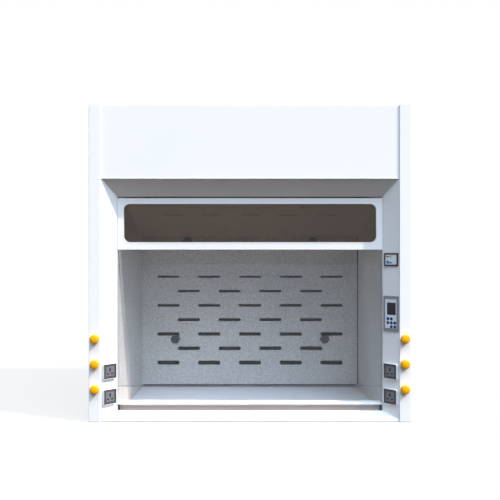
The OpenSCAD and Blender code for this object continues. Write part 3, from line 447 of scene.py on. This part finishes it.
worn = {
    "rearCoat": ["rear_panel"],
    "whiteCoat": ["front_sill", "airfoil", "side_panel_left", "side_panel_right", "roof_panel",
                  "post_left", "post_right", "jamb_left", "jamb_right", "fascia", "lamp_housing"],
    "soffitShadeCoat": ["soffit"],
    "windowCoat": ["transom_frame"],
    "linerBoard": ["liner_left", "liner_right", "liner_ceiling", "lower_baffle", "upper_baffle"],
    "worktopResin": ["worktop"],
    "galvanisedSteel": ["frame"],
    "spigotSteel": ["exhaust_spigot"],
    "guideAluminium": ["guide_left", "guide_right"],
    "brightSteel": ["pulley_shaft", "baffle_standoffs", "cable_wraps"],
    "darkSteel": ["airfoil_brackets", "shaft_bearings"],
    "castIron": ["counterweight_left", "counterweight_right"],
    "turnedBrass": ["service_valves"],
    "blackPlastic": ["airflow_meter", "sash_clamps"],
    "platePlastic": ["socket_plates"],
    "whitePlastic": ["socket_boxes", "lamp_tubes"],
    "casePlastic": ["controller_case"],
    "displayGlass": ["controller_display"],
    "edgeStrip": ["sash_trim"],
    "nutPlastic": ["baffle_nuts"],
    "sashGlass": ["sash_glass"],
    "windowGlass": ["transom_glass"],
    "lampGlass": ["lamp_lens"],
    "knobYellow": [name for name in nodes if name.startswith("service_knob")],
    "buttonBlue": [name for name in nodes if name.startswith("button_")],
}

for finish, names in worn.items():
    for name in names:
        for slot in nodes[name].material_slots:
            slot.material = materials[finish]
print("stage: finishes on", sum(map(len, worn.values())), "nodes")


# Tools for new pieces

tolerance = {
    "merge": 1e-6, "nodeMerge": 1e-5,  # metres
    "level": 2e-4, "facing": 0.99,  # how near a film's face is to its height, and how squarely it faces
}


def centreOf(node):
    low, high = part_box(node)
    return (Vector(low) + Vector(high)) / 2


def finishPiece(name, bm, finish, body, smooth=False):
    bmesh.ops.remove_doubles(bm, verts=bm.verts, dist=tolerance["merge"])
    bmesh.ops.recalc_face_normals(bm, faces=bm.faces)
    mesh = bpy.data.meshes.new(name)
    bm.to_mesh(mesh)
    bm.free()
    for face in mesh.polygons:
        face.use_smooth = smooth
    piece = bpy.data.objects.new(name, mesh)
    scene.collection.objects.link(piece)
    mesh.materials.append(materials[finish])
    if body:
        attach(piece, body)
    return piece


def axesToMatrix(right, up, out, place):
    matrix = Matrix((right, up, out)).transposed().to_4x4()
    matrix.translation = place
    return matrix


def facingFront(x, y, z):
    return axesToMatrix(Vector((1, 0, 0)), Vector((0, 0, 1)), Vector((0, -1, 0)), Vector((x, y, z)))


def addPlate(bm, matrix, wide, high, thick, radius=0.0, segments=5):
    # a flat plate standing on the matrix's plane, its corners rounded where it has a radius
    corners = []
    for x, y, turn in ((1, 1, 0), (-1, 1, 90), (-1, -1, 180), (1, -1, 270)):
        for step in range(segments + 1 if radius else 1):
            angle = math.radians(turn + 90 * step / segments)
            corners.append((x * (wide / 2 - radius) + radius * math.cos(angle),
                            y * (high / 2 - radius) + radius * math.sin(angle)))
    addPrism(bm, matrix, corners, thick)


def addPrism(bm, matrix, corners, thick):
    low = [bm.verts.new(matrix @ Vector((x, y, 0))) for x, y in corners]
    cap = bm.faces.new(low)
    grown = bmesh.ops.extrude_face_region(bm, geom=[cap])["geom"]
    lifted = [item for item in grown if isinstance(item, bmesh.types.BMVert)]
    bmesh.ops.translate(bm, verts=lifted, vec=matrix.to_3x3() @ Vector((0, 0, thick)))


def addDisc(bm, matrix, radius, thick, sides=32):
    corners = [(radius * math.cos(2 * math.pi * i / sides), radius * math.sin(2 * math.pi * i / sides))
               for i in range(sides)]
    addPrism(bm, matrix, corners, thick)


def addTurned(bm, matrix, profile, sides=32):
    # (radius, height) points turned once round the matrix's Z axis; tagged vertices are in place already
    verts = [bm.verts.new((radius, 0, height)) for radius, height in profile]
    edges = [bm.edges.new(pair) for pair in zip(verts, verts[1:])]
    bmesh.ops.spin(bm, geom=verts + edges, cent=(0, 0, 0), axis=(0, 0, 1), angle=2 * math.pi,
                   steps=sides, use_merge=True)
    for vert in bm.verts:
        if not vert.tag:
            vert.co = matrix @ vert.co
            vert.tag = True


def filmOver(name, node, origin, normal, height, thick, finish, body):
    # a thin printed film over the node's own flat face at that height, holes and all
    bm = bmesh.new()
    bm.from_mesh(nodes[node].data)
    bmesh.ops.remove_doubles(bm, verts=bm.verts, dist=tolerance["nodeMerge"])
    off = []
    for face in bm.faces:
        away = abs((face.calc_center_median() - origin).dot(normal) - height)
        if face.normal.dot(normal) < tolerance["facing"] or away > tolerance["level"]:
            off.append(face)
    bmesh.ops.delete(bm, geom=off, context="FACES")
    grown = bmesh.ops.extrude_face_region(bm, geom=list(bm.faces), use_keep_orig=True)["geom"]
    lifted = [item for item in grown if isinstance(item, bmesh.types.BMVert)]
    bmesh.ops.translate(bm, verts=lifted, vec=normal * thick)
    return finishPiece(name, bm, finish, body)


# Steel cables, cut into short lengths along their run

cable = {"radius": 0.002, "facets": 16, "rings": 28}


def makeCable(name, node, sides):
    # the ends are read from the node, to a hundredth of a millimetre
    low, high = [[round(value, 5) for value in corner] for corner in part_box(node)]
    out = max(high[0], -low[0]) - cable["radius"]
    depth = (low[1] + high[1]) / 2
    bm = bmesh.new()
    for side in sides:
        place = Matrix.Translation((side * out, depth, low[2]))
        ring = bmesh.ops.create_circle(bm, cap_ends=True, radius=cable["radius"],
                                       segments=cable["facets"], matrix=place)["verts"]
        cap = ring[0].link_faces[0]
        for step in range(cable["rings"]):
            grown = bmesh.ops.extrude_face_region(bm, geom=[cap])["geom"]
            cap = next(item for item in grown if isinstance(item, bmesh.types.BMFace))
            bmesh.ops.translate(bm, verts=cap.verts, vec=(0, 0, (high[2] - low[2]) / cable["rings"]))
    piece = finishPiece(name, bm, "strandedSteel", None, smooth=True)
    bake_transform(piece)
    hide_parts(node)


makeCable("sashCables", "sash_cables", (-1, 1))
makeCable("weightCableLeft", "weight_cable_left", (-1,))
makeCable("weightCableRight", "weight_cable_right", (1,))
print("stage: cables")


# Controller and airflow meter on the right jamb

# the right jamb's slanting face starts here, beside the post
jambOrigin = Vector((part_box("post_right")[0][0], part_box("front_sill")[0][1], 0.0))
jambAlong = Vector((-1, 1, 0)).normalized()
jambOut = Vector((-1, -1, 0)).normalized()
jambMid = (jambOrigin.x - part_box("liner_right")[0][0]) / math.sqrt(2)  # half the width of that face


def onJamb(side, along, z, proud):
    # side 1 is the right jamb, -1 the left one; the matrix's Z axis points out of the jamb's face
    flip = Vector((side, 1, 1))
    place = jambOrigin + jambAlong * along + jambOut * proud + Vector((0, 0, z))
    return axesToMatrix(jambAlong * flip * -side, Vector((0, 0, 1)), jambOut * flip, place * flip)


controller = {
    "face": 0.0048, "film": 0.0003,
    "ring": (0.0067, 0.0075, 0.0002),  # inner radius, outer radius, thickness
}


def makeControllerFace():
    face, film = controller["face"], controller["film"]
    filmOver("controllerFace", "controller_case", jambOrigin, jambOut, face, film,
             "faceFilm", "cabinet")
    inner, outer, thick = controller["ring"]
    bm = bmesh.new()
    for name in worn["buttonBlue"]:  # a printed ring round each button
        centre = centreOf(name)
        place = onJamb(1, (centre - jambOrigin).dot(jambAlong), centre.z, face + film)
        addTurned(bm, place, [(inner, 0), (outer, 0), (outer, thick), (inner, thick), (inner, 0)], 40)
    finishPiece("buttonRings", bm, "buttonBlue", "cabinet")


meter = {
    "face": 0.0035, "film": 0.0003, "ink": 0.0002,
    "marks": [  # finish, across and up from the centre, width, height; as wide as high is a disc
        ("meterBlue", -0.0185, 0.0135, 0.016, 0.006),
        ("meterYellow", -0.0035, 0.0140, 0.011, 0.011),
        ("meterTeal", -0.0180, -0.0125, 0.0165, 0.0165),
        ("meterBlue", -0.0025, -0.0145, 0.011, 0.0075),
    ],
}


def makeMeterFace():
    filmOver("meterFace", "airflow_meter", jambOrigin, jambOut, meter["face"], meter["film"],
             "faceFilm", "cabinet")
    centre = centreOf("airflow_meter")
    middle = (centre - jambOrigin).dot(jambAlong)
    for index, (finish, across, up, wide, high) in enumerate(meter["marks"]):
        bm = bmesh.new()
        place = onJamb(1, middle - across, centre.z + up, meter["face"] + meter["film"])
        if wide == high:
            addDisc(bm, place, wide / 2, meter["ink"])
        else:
            addPlate(bm, place, wide, high, meter["ink"], high / 4)
        finishPiece(f"meterMark{index + 1}", bm, finish, "cabinet")


makeControllerFace()
makeMeterFace()
print("stage: controller and meter")


# Grommet, seals, details of the sockets and edges

grommet = {
    "x": 0.6835, "z": 1.385, "hole": 0.016,  # the hole in the rear panel and its radius
    "bore": 0.008,
    "deep": 0.0015, "slack": 0.0002, "lip": 0.003, "lipThick": 0.002, "crown": 0.004,
}


def makeGrommet():
    bm = bmesh.new()
    place = facingFront(grommet["x"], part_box("rear_panel")[1][1], grommet["z"])
    hole, bore, deep = grommet["hole"], grommet["bore"], grommet["deep"]
    neck, lip = hole - grommet["slack"], hole + grommet["lip"]
    top = deep + grommet["crown"]
    addTurned(bm, place, [(bore, 0), (neck, 0), (neck, deep), (lip, deep),
                          (lip, deep + grommet["lipThick"]), (hole, top), (bore, top), (bore, 0)], 40)
    finishPiece("cableGrommet", bm, "blackPlastic", "cabinet")


cornerSeal = {"wide": 0.0036, "thick": 0.0018, "edge": 0.0001, "foot": 0.0002, "head": 0.0005}


def makeCornerSeal():
    # dark sealing strip down the right edge of the lower baffle, just short of its edge and ends
    low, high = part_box("lower_baffle")
    foot, head = low[2] + cornerSeal["foot"], high[2] - cornerSeal["head"]
    across = high[0] - cornerSeal["edge"] - cornerSeal["wide"] / 2
    bm = bmesh.new()
    addPlate(bm, facingFront(across, low[1], (foot + head) / 2), cornerSeal["wide"], head - foot,
             cornerSeal["thick"])
    finishPiece("cornerSeal", bm, "blackPlastic", "cabinet")


def addLineFrame(bm, place, size, line, thick):
    # four strips round a square, with mitred corners
    outer, inner = size / 2, size / 2 - line
    for turn in range(4):
        quarter = place @ Matrix.Rotation(math.radians(90 * turn), 4, "Z")
        addPrism(bm, quarter, [(-outer, -outer), (outer, -outer), (inner, -inner), (-inner, -inner)],
                 thick)


socket = {
    "along": jambMid - 0.0035,
    "face": 0.011, "raised": 0.0125,  # the plate and its raised square, measured from the jamb
    "plate": 0.068, "edge": 0.0055, "square": 0.0455, "line": 0.0032, "thick": 0.0003,
    "screwAt": 0.0280, "screwHead": 0.0034, "screwRise": 0.0012,
    "screwShape": ((0, 0), (1, 0), (1, 0.35), (0.82, 0.8), (0.42, 1), (0.36, 0.55), (0, 0.4)),
    "pit": 0.0080, "shutter": 0.0039, "slack": 0.0002, "rim": (0.0035, 0.0015),
    "contacts": (  # across and up from the middle, width, height
        (0, 0.008, 0.005, 0.014),
        (-0.011, -0.011, 0.009, 0.005),
        (0.011, -0.011, 0.009, 0.005),
    ),
}


def makeSocketDetail(name, side, z):
    thick = socket["thick"]
    place = onJamb(side, socket["along"], z, socket["face"])
    bm = bmesh.new()
    # black frames round the plate and round its raised square: painted shade of the recess round the plate
    # and of the square's step
    addLineFrame(bm, place, socket["plate"], socket["edge"], thick)
    addLineFrame(bm, place, socket["square"] + 2 * socket["line"], socket["line"], thick)
    finishPiece("socketShadeFrames" + name, bm, "blackPlastic", "cabinet")

    bm = bmesh.new()
    profile = [(socket["screwHead"] * out, socket["screwRise"] * up) for out, up in socket["screwShape"]]
    for across in (-socket["screwAt"], socket["screwAt"]):
        addTurned(bm, place @ Matrix.Translation((across, 0, 0)), profile, 24)
    finishPiece("socketScrews" + name, bm, "darkSteel", "cabinet")

    # shutters at the bottom of the contact pits, made black, and black rims round the openings: painted
    # shade of the contact holes
    bm = bmesh.new()
    rimWide, rimHigh = socket["rim"]
    for across, up, wide, high in socket["contacts"]:
        along = socket["along"] - across
        addPlate(bm, onJamb(side, along, z + up, socket["pit"]), wide - socket["slack"],
                 high - socket["slack"], socket["shutter"])
        addPlate(bm, onJamb(side, along, z + up, socket["raised"]), wide + rimWide, high + rimHigh, thick)
    finishPiece("socketShuttersAndSlotShade" + name, bm, "blackPlastic", "cabinet")


footStrip = {"high": 0.0016, "thick": 0.0008, "under": ("post_left", "front_sill", "post_right")}


def makeFootStrip():
    # a thin dark strip along the front of the foot: painted shade of its contact with the floor
    bm = bmesh.new()
    for node in footStrip["under"]:
        low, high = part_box(node)
        place = facingFront((low[0] + high[0]) / 2, low[1], footStrip["high"] / 2)
        addPlate(bm, place, high[0] - low[0], footStrip["high"], footStrip["thick"])
    finishPiece("footStrip", bm, "footPaintedShade", "cabinet")


topEdge = {"thick": 0.0004}


def makeTopEdge():
    # the ground upper edge of the sliding pane
    low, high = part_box("sash_glass")
    bm = bmesh.new()
    place = Matrix.Translation(((low[0] + high[0]) / 2, (low[1] + high[1]) / 2, high[2]))
    addPlate(bm, place, high[0] - low[0], high[1] - low[1], topEdge["thick"])
    finishPiece("sashTopEdge", bm, "groundEdge", "sash")


makeGrommet()
makeCornerSeal()
low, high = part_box("socket_plates")
for side, sideName in ((-1, "Left"), (1, "Right")):
    for z, level in ((low[2] + socket["plate"] / 2, "Low"), (high[2] - socket["plate"] / 2, "High")):
        makeSocketDetail(sideName + level, side, z)
makeFootStrip()
makeTopEdge()
print("stage: fittings")


low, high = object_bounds()
